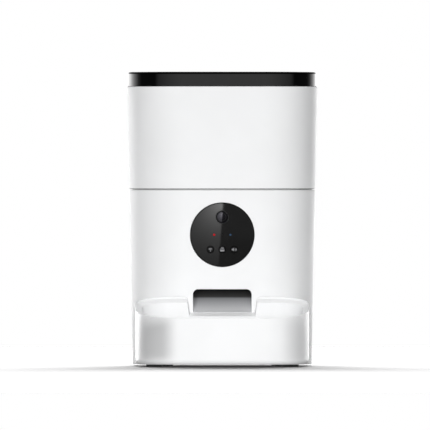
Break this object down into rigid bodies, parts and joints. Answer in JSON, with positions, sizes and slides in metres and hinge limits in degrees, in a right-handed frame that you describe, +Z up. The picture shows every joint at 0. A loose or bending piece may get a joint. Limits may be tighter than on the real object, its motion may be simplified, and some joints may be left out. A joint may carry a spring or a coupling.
{
  "type": "automatic pet feeder",
  "caption": "Plug-in pet feeder: tapered hopper with a lift-off lid over a base with a round camera panel, metering rotor, chute and pull-out tray.",
  "frame": {"origin": "on the floor, under the middle of the object's bounding box", "axes": "+X to the right as seen from the front, the front with the tray faces -Y, +Z up"},
  "size_m": [0.1906, 0.3046, 0.2948],
  "materials": {
    "white_shell": "satin moulded",
    "black_gloss": "polished",
    "light_plastic": "moulded",
    "black_plastic": "moulded",
    "acetal": "moulded",
    "silicone": "matt",
    "rubber": "matt",
    "steel": "plain",
    "brass": "sintered",
    "circuit_board": "solder mask",
    "lens_glass": "coated",
    "red_light": "tinted",
    "blue_light": "tinted"
  },
  "bodies": {
    "base": {"base_shell": "white_shell", "base_floor": "light_plastic", "base_feet": "rubber", "floor_screws": "steel", "battery_cover": "light_plastic", "battery_screws": "steel", "battery_contacts": "steel", "dispenser_deck": "light_plastic", "deck_screws": "steel", "portion_baffle": "light_plastic", "chute": "light_plastic", "chute_screws": "steel", "gearbox_case": "light_plastic", "gearbox_cover": "light_plastic", "gearbox_screws": "steel", "idler_pin": "steel", "output_bush": "brass", "motor_can": "steel", "motor_cap": "black_plastic", "front_panel": "black_gloss", "panel_carrier": "black_plastic", "carrier_screws": "steel", "panel_board": "circuit_board", "tact_switches": "black_plastic", "power_light": "red_light", "network_light": "blue_light", "microphone": "steel", "lens_bezel": "black_plastic", "lens_glass": "lens_glass", "lens_barrel": "black_plastic", "camera_board": "circuit_board", "main_board": "circuit_board", "board_screws": "steel", "dc_socket": "black_plastic", "speaker": "black_plastic"},
    "rotor": {"output_gear": "acetal", "output_shaft": "steel", "rotor_hub": "light_plastic", "rotor_blades": "silicone", "agitator": "light_plastic"},
    "idler": {"idler_gear": "acetal"},
    "motor": {"motor_shaft": "steel", "motor_pinion": "acetal"},
    "hopper": {"hopper": "white_shell"},
    "lid": {"lid": "black_gloss", "lid_seal": "silicone", "desiccant_cup": "light_plastic"},
    "tray": {"tray": "white_shell", "tray_feet": "rubber"},
    "left_button": {"left_button": "black_plastic"},
    "middle_button": {"middle_button": "black_plastic"},
    "right_button": {"right_button": "black_plastic"}
  },
  "joints": [
    {"name": "hopper_lift", "type": "slide", "parent": "base", "child": "hopper", "axis": [0, 0, 1], "range_m": [0, 0.1]},
    {"name": "lid_lift", "type": "slide", "parent": "hopper", "child": "lid", "axis": [0, 0, 1], "range_m": [0, 0.1]},
    {"name": "tray_pull", "type": "slide", "parent": "base", "child": "tray", "axis": [0, -1, 0], "range_m": [0, 0.1]},
    {"name": "rotor_spin", "type": "hinge", "parent": "base", "child": "rotor", "pos_m": [0, 0.05701, 0.112], "axis": [0, 0, 1], "continuous": true},
    {"name": "idler_spin", "type": "hinge", "parent": "base", "child": "idler", "pos_m": [0, 0.07741, 0.097], "axis": [0, 0, 1], "continuous": true},
    {"name": "motor_spin", "type": "hinge", "parent": "base", "child": "motor", "pos_m": [0, 0.09781, 0.097], "axis": [0, 0, 1], "continuous": true},
    {"name": "left_press", "type": "slide", "parent": "base", "child": "left_button", "axis": [0, 0.9998, 0.0207], "range_m": [0, 0.0004], "stiffness_N_per_m": 300},
    {"name": "middle_press", "type": "slide", "parent": "base", "child": "middle_button", "axis": [0, 0.9998, 0.0207], "range_m": [0, 0.0004], "stiffness_N_per_m": 300},
    {"name": "right_press", "type": "slide", "parent": "base", "child": "right_button", "axis": [0, 0.9998, 0.0207], "range_m": [0, 0.0004], "stiffness_N_per_m": 300}
  ],
  "couplings": [
    {"joint": "idler_spin", "follows": "rotor_spin", "ratio": -3},
    {"joint": "motor_spin", "follows": "rotor_spin", "ratio": 9}
  ]
}
